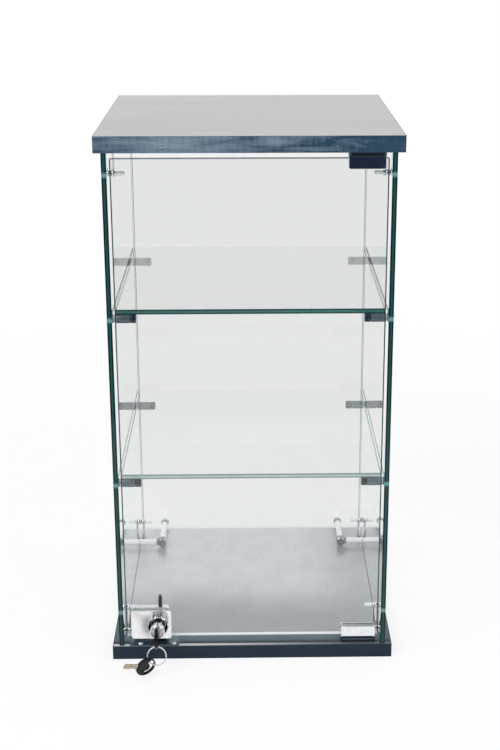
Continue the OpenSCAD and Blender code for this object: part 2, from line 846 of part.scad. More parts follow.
// Channel over the door's lower edge: a thin front plate, a web, and a thick back that holds the bolt
module lock_housing() {
    slot_front = door_front - gasket_t;
    cavity_high = bolt_high + hair;
    color([0.82, 0.84, 0.86]) difference() {
        union() {
            translate([lock_left, slot_front, lock_low]) rotate([90, 0, 0])
                linear_extrude(lock_front_t) round_rect(lock_w, lock_h, lock_r, true);
            translate([lock_left, lock_rear, lock_low]) rotate([90, 0, 0])
                linear_extrude(lock_back_t)
                    round_rect(lock_w - lock_back_short, lock_h, lock_r, true);
            translate([lock_left + lock_r, slot_front - hair, lock_low])
                cube([lock_w - lock_back_short - 2 * lock_r, lock_mid - slot_front + 2 * hair, lock_web]);
        }
        translate([barrel_x, 0, barrel_z])
            rod_y(lock_face - through, bolt_front, neck_d + 2 * fit);
        translate([barrel_x - bolt_w / 2 - hair, bolt_front - hair, lock_low - through])
            cube([bolt_w + 2 * hair, bolt_t + 2 * hair, cavity_high - lock_low + through]);
        translate([barrel_x + tail_off - tail_w / 2 - hair, bolt_front - hair, cavity_high - hair])
            cube([tail_w + 2 * hair, bolt_t + 2 * hair, lock_h]);
        at_lock_grubs() rod_y(lock_mid - through, lock_rear + through, grub_d + 2 * fit);
    }
}

// Turned barrel: a wide collar with a dished face, a nose with a bevelled rim, and the neck behind
module lock_barrel() {
    bore = plug_d / 2 + fit;
    collar_r = collar_d / 2;
    nose_r = nose_d / 2;
    step = barrel_len - collar_len;
    bevel = 1;
    dish = 4;
    lip = 1;
    color([0.85, 0.87, 0.89]) translate([barrel_x, barrel_front, barrel_z]) rotate([-90, 0, 0])
        rotate_extrude() polygon([
            [bore, 0.5], [bore + 0.5, 0], [nose_r - bevel, 0], [nose_r, bevel], [nose_r, step + dish],
            [collar_r - lip, step], [collar_r - lip / 2, step], [collar_r, step + lip], [collar_r, barrel_len],
            [neck_d / 2, barrel_len], [neck_d / 2, barrel_len + neck_len], [bore, barrel_len + neck_len]
        ]);
}

module lock_gasket() {
    inset = 1;
    wide = lock_w - lock_back_short - 2 * lock_r;
    color([0.86, 0.88, 0.88]) difference() {
        translate([lock_left + lock_r, door_front - gasket_t, door_low - gasket_t])
            cube([wide, glass_t + 2 * gasket_t, lock_h - lock_web - inset]);
        translate([lock_left, door_front, door_low]) cube([lock_w, glass_t, lock_h]);
        translate([barrel_x, 0, barrel_z])
            rod_y(lock_face, lock_rear, neck_d + 2 * neck_clear);
    }
}

module lock_clamp_screws() {
    color([0.60, 0.61, 0.62]) at_lock_grubs()
        translate([0, lock_rear, 0]) rotate([90, 0, 0]) set_screw(grub_d, lock_back_t);
}

// Plug with the keyway in its face and the eccentric pin that drives the bolt
module lock_plug() {
    plug_len = barrel_len + neck_len - hair;
    bevel = 0.6;
    slot_h = blade_h + 4 * hair;
    slot_t = blade_t + 4 * hair;
    color([0.78, 0.80, 0.83]) translate([barrel_x, barrel_front, barrel_z]) difference() {
        union() {
            rotate([-90, 0, 0]) rotate_extrude() polygon([
                [0, 0], [plug_d / 2 - bevel, 0], [plug_d / 2, bevel], [plug_d / 2, plug_len], [0, plug_len]
            ]);
            translate([-drive_rise, 0, drive_rise])
                rod_y(plug_len - 1, plug_len + hair + bolt_t, drive_pin_d);
        }
        translate([-slot_t / 2, -through, -slot_h / 2]) cube([slot_t, key_depth + through + 2 * hair, slot_h]);
    }
}

// Flat bolt with a level window for the drive pin, a bevelled lower end and a narrow tail on top
module lock_bolt() {
    tip = 0.8;
    half = bolt_w / 2;
    tail_r = tail_off + tail_w / 2;
    tail_l = tail_off - tail_w / 2;
    tail_high = lock_low + lock_h + tail_h;
    window_h = drive_pin_d + 2 * drive_slack;
    window_l = barrel_x - drive_r - drive_pin_d / 2 - drive_slack;
    window_r = barrel_x - drive_rise + drive_pin_d / 2 + drive_slack;
    color([0.30, 0.36, 0.38]) difference() {
        translate([barrel_x, bolt_front + bolt_t, 0]) rotate([90, 0, 0]) linear_extrude(bolt_t) polygon([
            [-half + tip, bolt_low], [half - tip, bolt_low], [half, bolt_low + tip], [half, bolt_high],
            [tail_r, bolt_high], [tail_r, tail_high - tip], [tail_r - tip, tail_high],
            [tail_l + tip, tail_high], [tail_l, tail_high - tip], [tail_l, bolt_high],
            [-half, bolt_high], [-half, bolt_low + tip]
        ]);
        translate([window_l, bolt_front - through, barrel_z + drive_rise - window_h / 2])
            cube([window_r - window_l, bolt_t + 2 * through, window_h]);
    }
}

strike_screw_d = 3;
strike_screw_len = 10;

module at_strike_screws() {
    for (x = [-strike_pitch / 2, strike_pitch / 2])
        translate([strike_x + 3.6 + x, strike_screw_y, base_top + strike_t]) children();
}

module strike_plate() {
    color([0.72, 0.74, 0.77]) difference() {
        translate([strike_x - strike_w / 2, strike_front, base_top])
            linear_extrude(strike_t) round_rect(strike_w, strike_back - strike_front, 2, true);
        translate([barrel_x - strike_slot_w / 2, bolt_mid - strike_slot_d / 2, base_top - through])
            cube([strike_slot_w, strike_slot_d, strike_t + 2 * through]);
        at_strike_screws() translate([0, 0, -strike_t - through])
            cylinder(d = strike_screw_d + 2 * fit, h = strike_t + 2 * through);
    }
}

module strike_screws() {
    color([0.80, 0.82, 0.84]) at_strike_screws() pan_screw(6, 1.7, strike_screw_d, strike_screw_len);
}

// ---------- keys ----------
// A key is drawn flat: the bow's centre at the origin, the blade along +X, the edge with the cuts below.

// Slot on an arc round the bow's outer end, where the ring slides
module bow_slot_shape() {
    difference() {
        circle(bow_slot_r + bow_slot_w / 2);
        circle(bow_slot_r - bow_slot_w / 2);
        rotate(-(180 - bow_slot_half)) square(2 * bow_d);
        rotate(180 - bow_slot_half - 90) square(2 * bow_d);
        translate([-bow_slot_r * cos(bow_slot_half), -bow_d]) square(2 * bow_d);
    }
    for (side = [-1, 1]) rotate(180 + side * bow_slot_half) translate([bow_slot_r, 0])
        circle(d = bow_slot_w);
}

module bow_solid() {
    r = bow_d / 2;
    edge = 1;
    recess = 0.4;
    difference() {
        translate([0, 0, -bow_t / 2]) rotate_extrude($fn = 72) {
            translate([0, edge]) square([r, bow_t - 2 * edge]);
            square([r - edge, bow_t]);
            for (z = [edge, bow_t - edge]) translate([r - edge, z]) circle(edge, $fn = 24);
        }
        translate([0, 0, -bow_t]) linear_extrude(2 * bow_t) bow_slot_shape();
        for (z = [-bow_t / 2 - through, bow_t / 2 - recess]) translate([r * 0.25, 0, z])
            cylinder(d = bow_d * 0.44, h = recess + through);
        translate([blade_root, -blade_h / 2 - fit, -blade_t / 2 - fit])
            cube([bow_d, blade_h + 2 * fit, blade_t + 2 * fit]);
    }
}

blade_root = 2;                                    // of the blade's inner end from the bow's centre
cut_pitch = 2.6;
cut_depths = [1.2, 2.0, 0.8, 1.6, 1.0, 1.8];

// Edge of the blade: flat-bottomed cuts one pitch apart, and a pointed tip
module blade_outline() {
    tip = blade_len + bow_d / 2;
    h = blade_h / 2;
    nose = 2;
    first = tip - nose - cut_pitch * len(cut_depths);
    flat = cut_pitch * 0.25;
    polygon(concat(
        [[blade_root, -h]],
        [for (i = [0:len(cut_depths) - 1], p = [[-0.45, 0], [-0.12, 1], [0.12, 1], [0.45, 0]])
            [first + (i + 0.5 + p.x) * cut_pitch, -h + p.y * cut_depths[i]]],
        [[tip - nose, -h], [tip, -h + nose], [tip, h - nose / 2], [tip - nose / 2, h], [blade_root, h]]
    ));
}

module blade_solid() {
    groove_d = 0.5;
    groove_w = 1.4;
    difference() {
        translate([0, 0, -blade_t / 2]) linear_extrude(blade_t) blade_outline();
        for (z = [-blade_t / 2 - through, blade_t / 2 - groove_d])
            translate([bow_d / 2 + 1.5, groove_w * 0.4, z]) cube([blade_len, groove_w, groove_d + through]);
    }
}

// In the plug, with the bow upright and the blade towards the back
module at_key() {
    translate([barrel_x, bow_y, barrel_z]) rotate([90, 0, 90]) children();
}

// On the ring, upright on the table, turned towards the front
module at_spare() {
    translate(spare_at) rotate([0, 0, 180 + spare_turn])
        rotate([0, -spare_rise, 0]) rotate([90 - spare_lean, 0, 0]) children();
}

module key_blade() {
    color([0.80, 0.72, 0.50]) at_key() blade_solid();
}

module key_bow() {
    color([0.06, 0.06, 0.07]) at_key() bow_solid();
}

module spare_key_blade() {
    color([0.80, 0.72, 0.50]) at_spare() blade_solid();
}

module spare_key_bow() {
    color([0.06, 0.06, 0.07]) at_spare() bow_solid();
}

// Split ring: two turns of flat wire side by side, with a fine groove between them
module key_ring() {
    turn = ring_wire * 0.46;
    core = ring_wire * 0.7;
    color([0.75, 0.77, 0.79]) translate(ring_at) rotate([90 - ring_tilt, 0, 0])
        rotate_extrude($fn = 72) translate([ring_r, 0]) {
            for (z = [-ring_wire / 2, ring_wire / 2 - turn])
                translate([-ring_wire / 2, z]) square([ring_wire, turn]);
            translate([-core / 2, -ring_wire / 2 + turn / 2]) square([core, ring_wire - turn]);
        }
}

// ---------- the assembly ----------

base_board();
top_board();
base_edge_bands();
top_edge_bands();
floor_liner();
side_glass_left();
side_glass_right();
back_glass();
shelf_lower();
shelf_upper();
support_barrels();
support_end_caps();
support_studs();
support_washers();
corner_posts();
post_pins();
post_cap_nuts();
post_washers();
post_hanger_screws();
brace_elbows();
brace_elbow_screws();
brace_side_tubes();
brace_back_tubes();
brace_studs();
brace_washers();
outer_caps();
hinge_plates();
hinge_plate_screws();
hinge_pins();
hinge_washers();
strike_plate();
strike_screws();
door_glass();
hinge_clamps();
clamp_gaskets();
clamp_screws();
lock_housing();
lock_barrel();
lock_gasket();
lock_clamp_screws();
lock_plug();
lock_bolt();
key_blade();
key_bow();
key_ring();
spare_key_blade();
spare_key_bow();
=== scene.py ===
import math

import bmesh
import bpy
from mathutils import Matrix, Vector


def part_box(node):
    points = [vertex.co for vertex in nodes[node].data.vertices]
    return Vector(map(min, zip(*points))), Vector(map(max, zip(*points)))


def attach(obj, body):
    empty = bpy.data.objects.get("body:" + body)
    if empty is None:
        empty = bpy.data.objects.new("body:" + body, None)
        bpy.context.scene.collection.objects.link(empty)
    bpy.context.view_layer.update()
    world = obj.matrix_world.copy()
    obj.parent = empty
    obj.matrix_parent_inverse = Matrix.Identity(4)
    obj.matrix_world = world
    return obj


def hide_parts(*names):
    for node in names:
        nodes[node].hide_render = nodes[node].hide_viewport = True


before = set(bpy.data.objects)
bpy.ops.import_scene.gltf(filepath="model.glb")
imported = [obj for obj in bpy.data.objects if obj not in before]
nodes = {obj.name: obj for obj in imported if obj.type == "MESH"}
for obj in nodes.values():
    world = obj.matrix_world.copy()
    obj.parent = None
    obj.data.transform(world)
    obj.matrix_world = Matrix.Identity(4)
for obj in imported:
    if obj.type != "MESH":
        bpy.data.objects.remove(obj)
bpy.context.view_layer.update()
scene = bpy.context.scene


# ---- View of the case -------------------------------------------------------
# The case stands on a counter, seen from a little above and straight in front.
# The place, turn, lens and shift come from fitting the case's straight edges:
# the picture is the middle of a slightly larger one, cut off-centre.
camera_place = (-0.0031, -1.7712, 0.8975)
turned_right, tilted_down = 1.132, 18.799
camera_data = bpy.data.cameras.new("front_view")
camera_data.sensor_width = 36
camera_data.lens = 68.502
camera_data.shift_x = -0.03336
camera_data.shift_y = 0.02013
camera_data.clip_end = 60
camera = bpy.data.objects.new("front_view", camera_data)
camera.matrix_world = (
    Matrix.Translation(camera_place)
    @ Matrix.Rotation(math.radians(-turned_right), 4, "Z")
    @ Matrix.Rotation(math.radians(90 - tilted_down), 4, "X")
)
scene.collection.objects.link(camera)
scene.camera = camera
scene.view_settings.view_transform = "Standard"
scene.cycles.transparent_max_bounces = 32


# ---- Counter ----------------------------------------------------------------
# A pale matt table top under the case. It takes a soft contact shadow, and
# fades to plain white away from the case. Far in front it is dark, as a floor
# is, but only reflections show that.
def add(tree, kind, fill=None, **settings):
    """A shader node with its settings, and its inputs filled by values or links."""
    node = tree.nodes.new("ShaderNode" + kind)
    for key, value in settings.items():
        setattr(node, key, value)
    for name, value in (fill or {}).items():
        socket = node.inputs[name]
        if isinstance(value, bpy.types.NodeSocket):
            tree.links.new(value, socket)
        else:
            socket.default_value = value
    return node


def calc(tree, operation, *values, **settings):
    """The result of a Math node, as a socket."""
    return add(tree, "Math", dict(enumerate(values)), operation=operation, **settings).outputs[0]


def blend(tree, factor, first, second, mode="MIX"):
    """The colour between two, as a socket."""
    mix = add(tree, "Mix", data_type="RGBA", blend_type=mode)
    for index, value in ((0, factor), (6, first), (7, second)):
        socket = mix.inputs[index]
        if isinstance(value, bpy.types.NodeSocket):
            tree.links.new(value, socket)
        elif index and len(value) == 3:
            socket.default_value = (*value, 1)
        else:
            socket.default_value = value
    return mix.outputs[2]


def spread(tree, value, low, high, to_low=0.0, to_high=1.0, smooth=False):
    """The value's range from low to high mapped onto another, as a socket."""
    shape = "SMOOTHSTEP" if smooth else "LINEAR"
    fill = {"Value": value, "From Min": low, "From Max": high, "To Min": to_low, "To Max": to_high}
    return add(tree, "MapRange", fill, interpolation_type=shape).outputs["Result"]


def new_finish(name):
    """An empty material: itself, its tree, its output node and Object coordinates."""
    material = bpy.data.materials.new(name)
    material.use_nodes = True
    tree = material.node_tree
    tree.nodes.clear()
    out = add(tree, "OutputMaterial")
    place = add(tree, "TexCoord").outputs["Object"]
    return material, tree, out, place


counter_half = 9.0
fade_start, fade_end = 0.5, 1.6
dark_floor = (0.012, 0.022, 0.045)
floor_start, floor_sides = (-0.85, -1.15), (0.34, 0.18)
material, tree, out, place = new_finish("counter_white")
away = add(tree, "VectorMath", {0: place}, operation="LENGTH").outputs["Value"]
fade = spread(tree, away, fade_start, fade_end, 0.78, 1.0, smooth=True)
matt = add(tree, "BsdfDiffuse", {"Color": (0.90, 0.90, 0.90, 1)}).outputs[0]
white = add(tree, "Emission", {"Color": (1, 1, 1, 1), "Strength": 1.0}).outputs[0]
rays = add(tree, "LightPath").outputs
direct = calc(tree, "MAXIMUM", rays["Is Camera Ray"], rays["Is Transmission Ray"])
direct = calc(tree, "MAXIMUM", direct, rays["Is Glossy Ray"])
table = add(tree, "MixShader", {0: calc(tree, "MULTIPLY", direct, fade), 1: matt, 2: white}).outputs[0]
spot = add(tree, "SeparateXYZ", {0: place}).outputs
sideways = calc(tree, "ABSOLUTE", calc(tree, "DIVIDE", spot["X"], spot["Y"]))
in_front = calc(tree, "MULTIPLY", spread(tree, spot["Y"], *floor_start, smooth=True),
                spread(tree, sideways, *floor_sides, smooth=True))
mirrored = calc(tree, "MULTIPLY", in_front, rays["Is Glossy Ray"])
dark = add(tree, "Emission", {"Color": (*dark_floor, 1), "Strength": 1.0}).outputs[0]
whole = add(tree, "MixShader", {0: mirrored, 1: table, 2: dark})
tree.links.new(whole.outputs[0], out.inputs["Surface"])

mesh = bpy.data.meshes.new("counter")
corners = [(-1, -1), (1, -1), (1, 1), (-1, 1)]
mesh.from_pydata([(x * counter_half, y * counter_half, 0) for x, y in corners], [], [(0, 1, 2, 3)])
mesh.materials.append(material)
counter = bpy.data.objects.new("counter", mesh)
scene.collection.objects.link(counter)


# ---- Studio light -----------------------------------------------------------
# A white room with a large soft lamp at the upper left and a weaker one at the
# right. Reflections also show a dim wall with two bright windows behind the
# viewer, and the dark floor.
wall_start, wall_top = (-0.05, -0.40), (0.96, 0.84)
window_near, window_far = (0.50, 0.58), (1.05, 0.95)
floor_way, floor_rise = (-0.25, -0.60), (0.26, 0.10)
world = bpy.data.worlds.new("studio")
world.use_nodes = True
tree = world.node_tree
tree.nodes.clear()
out = add(tree, "OutputWorld")
way = add(tree, "SeparateXYZ", {0: add(tree, "TexCoord").outputs["Generated"]}).outputs
behind = calc(tree, "MULTIPLY", spread(tree, way["Y"], *wall_start, smooth=True),
              spread(tree, way["Z"], *wall_top, smooth=True))
sideways = calc(tree, "ABSOLUTE", calc(tree, "DIVIDE", way["X"], way["Y"]))
window = calc(tree, "MULTIPLY", spread(tree, sideways, *window_near), spread(tree, sideways, *window_far))
wall = blend(tree, window, (0.110, 0.140, 0.175), (0.95, 0.95, 0.95))
room = blend(tree, behind, (0.98, 0.98, 0.98), wall)
in_front = calc(tree, "MULTIPLY", spread(tree, way["Y"], *floor_way, smooth=True),
                spread(tree, sideways, *floor_sides, smooth=True))
low_down = calc(tree, "MULTIPLY", in_front, spread(tree, way["Z"], *floor_rise, smooth=True))
mirrored = blend(tree, low_down, room, dark_floor)
rays = add(tree, "LightPath").outputs
light = blend(tree, rays["Is Glossy Ray"], (0.80, 0.80, 0.81), mirrored)
direct = calc(tree, "MAXIMUM", rays["Is Camera Ray"], rays["Is Transmission Ray"])
lit = add(tree, "Background", {"Color": blend(tree, direct, light, (1, 1, 1)), "Strength": 1.0})
tree.links.new(lit.outputs[0], out.inputs["Surface"])
scene.world = world


def soft_lamp(name, place, watts, size=1.4, aim=(0, 0, 0.3)):
    """A round lamp that shines at the case's lower half."""
    data = bpy.data.lights.new(name, "AREA")
    data.shape = "DISK"
    data.size = size
    data.energy = watts
    lamp = bpy.data.objects.new(name, data)
    lamp.location = place
    lamp.rotation_euler = (Vector(aim) - Vector(place)).to_track_quat("-Z", "Y").to_euler()
    scene.collection.objects.link(lamp)


soft_lamp("key_lamp", (-1.5, -1.3, 2.3), 26)
soft_lamp("fill_lamp", (1.8, -1.0, 1.6), 10)


# ---- Base and top boards ----------------------------------------------------
# Laminated boards, satin, with a very fine mottle. The base board is a dark
# slate blue. The top board is a warm grey under a clear film.
def laminate(name, colour, shade, roughness, index, coat, seats=False):
    """A laminate's finish. With seats, it also has painted reflection, shade and highlights round the floor
    sheet and at the front.
    """
    material, tree, out, place = new_finish(name)
    drawn = add(tree, "Mapping", {"Vector": place, "Scale": (3.0, 14.0, 3.0)})
    cloud = add(tree, "TexNoise", {"Vector": drawn.outputs[0], "Scale": 1.6, "Detail": 2.0, "Roughness": 0.4})
    grain = add(tree, "TexNoise", {"Vector": place, "Scale": 1400.0, "Detail": 2.0})
    tone = spread(tree, cloud.outputs["Fac"], 0.3, 0.7, smooth=True)
    fleck = spread(tree, grain.outputs["Fac"], 0.35, 0.7, 0.0, 0.35)
    base = blend(tree, fleck, blend(tree, tone, colour, shade), shade)
    if seats:
        front_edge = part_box("base_edge_bands")[0].y
        sheet_side, sheet_rear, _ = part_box("floor_liner")[1]
        seat_side, seat_rear = sheet_side + 0.003, sheet_rear - 0.0004
        door_shade, highlight_depth, highlight_fade = (0.0080, 0.0190), (0.0066, 0.0056), (-0.10, 0.14)
        at = add(tree, "SeparateXYZ", {0: place}).outputs
        inwards = calc(tree, "SUBTRACT", at["Y"], front_edge)
        across = calc(tree, "ABSOLUTE", at["X"])
        # Painted reflection: the board's top between the side panes is lighter.
        base = blend(tree, spread(tree, across, seat_side, sheet_side), base, (0.140, 0.205, 0.240))
        # Painted shade below the door: dark just behind the front edge, fading inwards.
        base = blend(tree, spread(tree, inwards, *door_shade, smooth=True), (0.014, 0.024, 0.034), base)
        # Painted highlight along the front edge, brightest at the left.
        pale = spread(tree, at["X"], *highlight_fade, 0.62, 0.10, smooth=True)
        front_highlight = calc(tree, "MULTIPLY", spread(tree, inwards, *highlight_depth), pale)
        base = blend(tree, front_highlight, base, (0.86, 0.88, 0.92))
        # Painted light under the back pane: a pale strip along the rear.
        base = blend(tree, spread(tree, at["Y"], seat_rear, sheet_rear), base, (0.70, 0.72, 0.73))
    rough = spread(tree, grain.outputs["Fac"], 0.3, 0.7, roughness, roughness + 0.03)
    shader = add(tree, "BsdfPrincipled", {
        "Base Color": base, "Roughness": rough, "IOR": index, "Coat Weight": coat, "Coat Roughness": 0.2,
    })
    tree.links.new(shader.outputs[0], out.inputs["Surface"])
    return material


def dress(material, *names):
    """Gives a finish to CAD nodes."""
    for name in names:
        data = nodes[name].data
        data.materials.clear()
        data.materials.append(material)


slate_blue = laminate("base_laminate", (0.070, 0.105, 0.125), (0.085, 0.120, 0.140), 0.30, 1.28, 0.0,
                      seats=True)
warm_grey = laminate("top_laminate", (0.118, 0.108, 0.116), (0.180, 0.165, 0.171), 0.24, 1.5, 0.6)
dress(slate_blue, "base_board")
dress(warm_grey, "top_board")


# ---- Edge bands -------------------------------------------------------------
# Thin edging strips glued round the boards. The top strip shows the slanting
# brush marks of a metallic laminate, with painted shade towards its ends, and the
# base strip is plain and smooth, with a painted highlight on its top front arris.
def brushed_edging(name, dark, pale, slant, contrast, index, end_shade=0.0, arris=None):
    """An edging's finish. It can have painted shade towards its ends, and a painted highlight at the top in
    front.
    """
    right_shade_span, left_shade_span, arris_fade = (-0.07, 0.17), (-0.10, -0.17), (-0.11, 0.12)
    material, tree, out, place = new_finish(name)
    wide = add(tree, "Mapping", {"Vector": place, "Rotation": (0, math.radians(slant), 0),
                                 "Scale": (16.0, 40.0, 110.0)})
    cloud = add(tree, "TexNoise", {"Vector": wide.outputs[0], "Scale": 1.0, "Detail": 6.0, "Roughness": 0.62,
                                   "Distortion": 0.6})
    steep = add(tree, "Mapping", {"Vector": place, "Rotation": (0, math.radians(slant - 38), 0),
                                  "Scale": (260.0, 300.0, 60.0)})
    marks = add(tree, "TexNoise", {"Vector": steep.outputs[0], "Scale": 1.0, "Detail": 4.0, "Roughness": 0.6})
    along = add(tree, "SeparateXYZ", {0: place}).outputs["X"]
    # Painted shade towards the ends, most at the right.
    ends = calc(tree, "ADD", spread(tree, along, *right_shade_span, 0.0, end_shade, smooth=True),
                spread(tree, along, *left_shade_span, 0.0, end_shade * 0.45, smooth=True))
    tone = spread(tree, cloud.outputs["Fac"], 0.32, 0.68, 0.0, 0.75)
    tone = calc(tree, "MULTIPLY_ADD", marks.outputs["Fac"], 0.55, tone)
    tone = calc(tree, "SUBTRACT", tone, ends)
    tone = spread(tree, tone, 0.5 - 0.5 / contrast, 0.5 + 0.5 / contrast)
    colour = blend(tree, tone, dark, pale)
    if arris:
        # Painted highlight on the arris at the top in front, strongest at the left.
        facing = add(tree, "SeparateXYZ", {0: add(tree, "NewGeometry").outputs["True Normal"]}).outputs
        bevel = calc(tree, "MULTIPLY", spread(tree, facing["Z"], 0.3, 0.5),
                     spread(tree, facing["Y"], -0.3, -0.5))
        arris_strength = spread(tree, along, *arris_fade, 1.0, 0.25, smooth=True)
        colour = blend(tree, calc(tree, "MULTIPLY", bevel, arris_strength), colour, arris)
    shader = add(tree, "BsdfPrincipled", {"Base Color": colour, "Roughness": 0.34, "IOR": index})
    tree.links.new(shader.outputs[0], out.inputs["Surface"])
    return material


def make_tree(name, *inputs):
    """An empty Geometry Nodes tree with named inputs: itself, its inputs and their identifiers."""
    tree = bpy.data.node_groups.new(name, "GeometryNodeTree")
    keys = {}
    for label, kind in inputs:
        socket = tree.interface.new_socket(label, in_out="INPUT", socket_type="NodeSocket" + kind)
        keys[label] = socket.identifier
    tree.interface.new_socket("Piece", in_out="OUTPUT", socket_type="NodeSocketGeometry")
    return tree, tree.nodes.new("NodeGroupInput").outputs, keys


def step(tree, kind, fill=None, **settings):
    """The first output of a Geometry Nodes node, its inputs filled by values or links."""
    node = tree.nodes.new(kind if kind.startswith("Shader") else "GeometryNode" + kind)
    for key, value in settings.items():
        setattr(node, key, value)
    for name, value in (fill or {}).items():
        if isinstance(value, bpy.types.NodeSocket):
            tree.links.new(value, node.inputs[name])
        else:
            node.inputs[name].default_value = value
    return node.outputs[0]


def end_tree(tree, shape, finish):
    """Ends a tree with real geometry in one finish."""
    whole = step(tree, "RealizeInstances", {"Geometry": shape})
    done = step(tree, "SetMaterial", {"Geometry": whole, "Material": finish})
    tree.links.new(done, tree.nodes.new("NodeGroupOutput").inputs[0])


def make_piece(name, made, sizes, start=None, sharp_from=32):
    """A plain mesh object of what a tree makes from its sizes, with outward faces."""
    tree, _, keys = made
    piece = bpy.data.objects.new(name, start or bpy.data.meshes.new(name))
    scene.collection.objects.link(piece)
    maker = piece.modifiers.new("maker", "NODES")
    maker.node_group = tree
    for label, value in sizes.items():
        maker[keys[label]] = value
    depsgraph = bpy.context.evaluated_depsgraph_get()
    mesh = bpy.data.meshes.new_from_object(piece.evaluated_get(depsgraph), depsgraph=depsgraph)
    piece.modifiers.clear()
    shell = bmesh.new()
    shell.from_mesh(mesh)
    bmesh.ops.remove_doubles(shell, verts=shell.verts, dist=1e-7)
    bmesh.ops.recalc_face_normals(shell, faces=shell.faces)
    for face in shell.faces:
        face.material_index = 0
    shell.to_mesh(mesh)
    shell.free()
    mesh.materials.clear()
    mesh.materials.append(sizes["Finish"])
    mesh.shade_smooth()
    mesh.set_sharp_from_angle(angle=math.radians(sharp_from))
    piece.data = mesh
    return piece


edging = make_tree("edge_strip", ("Width", "Float"), ("Depth", "Float"), ("Height", "Float"),
                   ("Middle", "Float"), ("Strip", "Float"), ("Rounding", "Float"), ("Finish", "Material"))
tree, given, _ = edging
sides = [step(tree, "ShaderNodeMath", {0: given[side], 1: given["Strip"]}, operation="SUBTRACT")
         for side in ("Width", "Depth")]
path = step(tree, "CurvePrimitiveQuadrilateral", {"Width": sides[0], "Height": sides[1]})
path = step(tree, "FilletCurve", {"Curve": path, "Count": 4, "Radius": given["Rounding"]}, mode="POLY")
raised = step(tree, "ShaderNodeCombineXYZ", {"Z": given["Middle"]})
path = step(tree, "Transform", {"Geometry": path, "Translation": raised})
strip = step(tree, "CurvePrimitiveQuadrilateral", {"Width": given["Strip"], "Height": given["Height"]})
across = step(tree, "ShaderNodeSeparateXYZ", {0: step(tree, "InputPosition")})
outside = step(tree, "ShaderNodeMath", {0: across, 1: 0.0}, operation="GREATER_THAN")
outer_rounding = step(tree, "ShaderNodeMath", {0: outside, 1: given["Rounding"]}, operation="MULTIPLY")
strip = step(tree, "FilletCurve", {"Curve": strip, "Count": 3, "Radius": outer_rounding}, mode="POLY")
end_tree(tree, step(tree, "CurveToMesh", {"Curve": path, "Profile Curve": strip}), given["Finish"])

band_t, band_rounding = 0.001, 0.0005
plain_edging = brushed_edging("base_edging", (0.012, 0.023, 0.038), (0.018, 0.033, 0.050), 3, 0.8, 1.22,
                              arris=(0.30, 0.33, 0.36))
marked_edging = brushed_edging("top_edging", (0.018, 0.052, 0.095), (0.200, 0.262, 0.325), -12, 1.15, 1.3,
                               end_shade=0.62)
for bands, finish in (("base_edge_bands", plain_edging), ("top_edge_bands", marked_edging)):
    low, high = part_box(bands)
    piece = make_piece(bands.replace("bands", "strip"), edging, {
        "Width": high.x - low.x, "Depth": high.y - low.y, "Height": high.z - low.z,
        "Middle": (low.z + high.z) / 2, "Strip": band_t, "Rounding": band_rounding, "Finish": finish,
    })
    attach(piece, "case")
    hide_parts(bands)


# ---- Floor sheet ------------------------------------------------------------
# Thin satin aluminium sheet on the base board inside the glass, finely brushed
# from front to back. Painted shade darkens it in front and at the right.
shaded_at, unshaded_at = -0.085, 0.035
right_shade_span = (0.05, 0.15)
material, tree, out, place = new_finish("satin_sheet")
drawn = add(tree, "Mapping", {"Vector": place, "Scale": (900.0, 26.0, 1.0)})
brush = add(tree, "TexNoise", {"Vector": drawn.outputs[0], "Scale": 1.0, "Detail": 4.0, "Roughness": 0.6})
fleck = add(tree, "TexNoise", {"Vector": place, "Scale": 1100.0, "Detail": 2.0})
haze = add(tree, "TexNoise", {"Vector": place, "Scale": 14.0, "Detail": 5.0})
cloud = add(tree, "TexNoise", {"Vector": place, "Scale": 38.0, "Detail": 4.0, "Roughness": 0.6})
at = add(tree, "SeparateXYZ", {0: place}).outputs
# Painted shade: darker in front, and darker at the right towards the rear.
depth = calc(tree, "MULTIPLY_ADD", haze.outputs["Fac"], 0.05, at["Y"])
unshaded = spread(tree, depth, shaded_at, unshaded_at, smooth=True)
right = spread(tree, at["X"], *right_shade_span, 0.0, 0.62, smooth=True)
rear = blend(tree, right, (0.680, 0.700, 0.722), (0.440, 0.460, 0.480))
base = blend(tree, unshaded, (0.375, 0.395, 0.415), rear)
fine = calc(tree, "MULTIPLY", spread(tree, brush.outputs["Fac"], 0.3, 0.7, 0.95, 1.05),
            spread(tree, cloud.outputs["Fac"], 0.3, 0.7, 0.94, 1.06))
fine = calc(tree, "MULTIPLY", spread(tree, fleck.outputs["Fac"], 0.3, 0.7, 0.90, 1.10), fine)
grey = add(tree, "CombineColor", {0: fine, 1: fine, 2: fine}).outputs[0]
base = blend(tree, 1.0, base, grey, "MULTIPLY")
shader = add(tree, "BsdfPrincipled", {"Base Color": base, "Metallic": 0.6, "Roughness": 0.3})
tree.links.new(shader.outputs[0], out.inputs["Surface"])
dress(material, "floor_liner")


# ---- Side, back and door glass ----------------------------------------------
# Float glass, 6 mm, with clear faces of a cool tint. The polished edges show
# its depth: near black, with a deep green core. The ends of the door and of the
# back pane carry a pale painted highlight, and the lower ones a painted glow.
glass_half = 0.003
face_limit = (0.97, 0.90)
core_blur = 0.0009
end_band = (0.0010, 0.0014)
glint_reach, glint_colour = (0.0042, 0.0004), (0.22, 0.46, 0.47)
mirror_gain = 1.7


